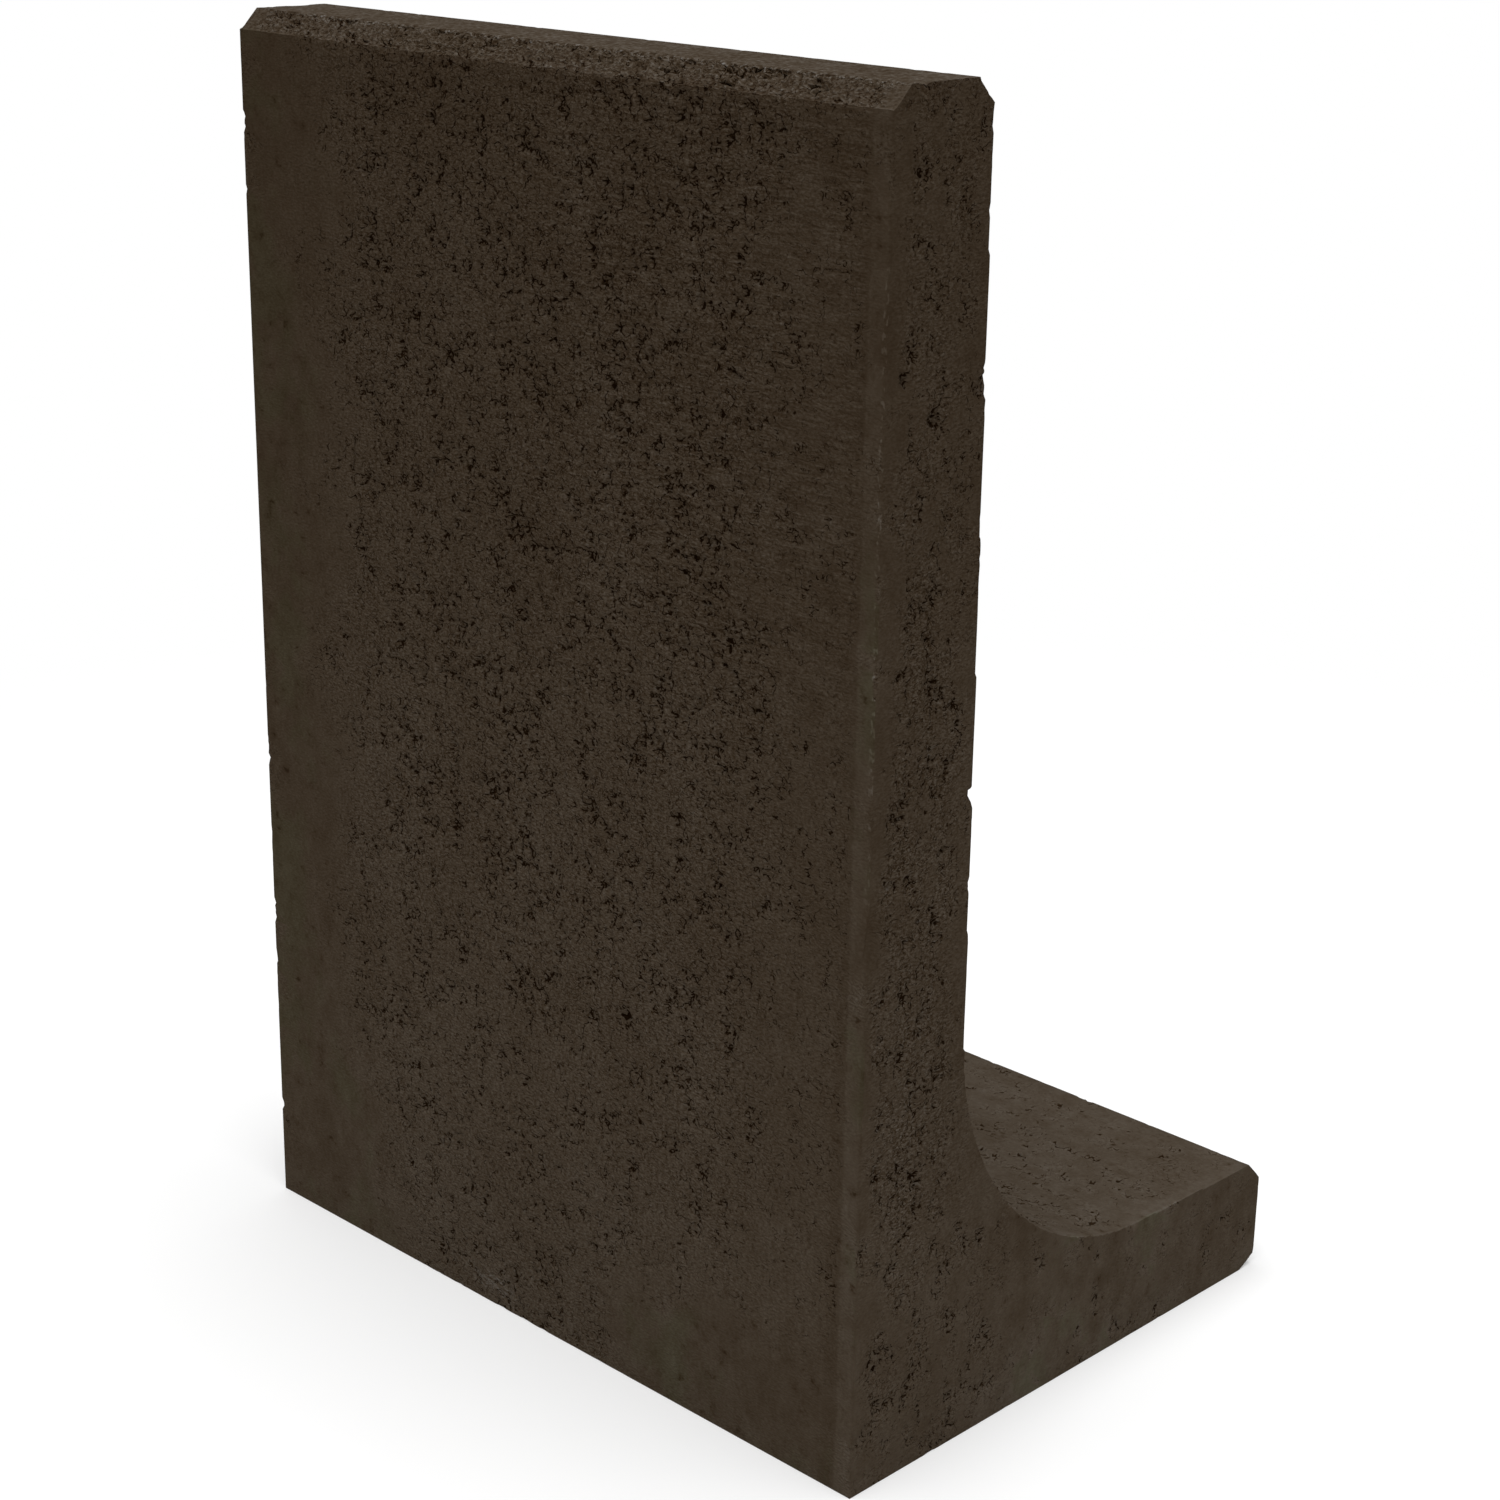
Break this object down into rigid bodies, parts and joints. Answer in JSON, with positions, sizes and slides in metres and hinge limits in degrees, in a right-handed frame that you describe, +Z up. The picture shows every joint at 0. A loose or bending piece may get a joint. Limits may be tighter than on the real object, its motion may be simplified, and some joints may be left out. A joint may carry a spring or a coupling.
{
  "type": "l-shaped retaining wall element",
  "caption": "Cast concrete L-shaped retaining wall element: upright stem with bevelled top edges, large inner curve and a flat foot that the backfill holds down.",
  "frame": {"origin": "on the floor, at the middle of the element's width and depth", "axes": "+X along the wall to the right as seen from the front, -Y out of the upright front face, +Y towards the end of the foot, +Z up"},
  "size_m": [0.4, 0.3, 0.6],
  "materials": {
    "concrete": "matt dark brown-grey dry-cast concrete, pitted face with smoother margins"
  },
  "bodies": {
    "root": {"wall_element": "concrete"}
  },
  "joints": []
}
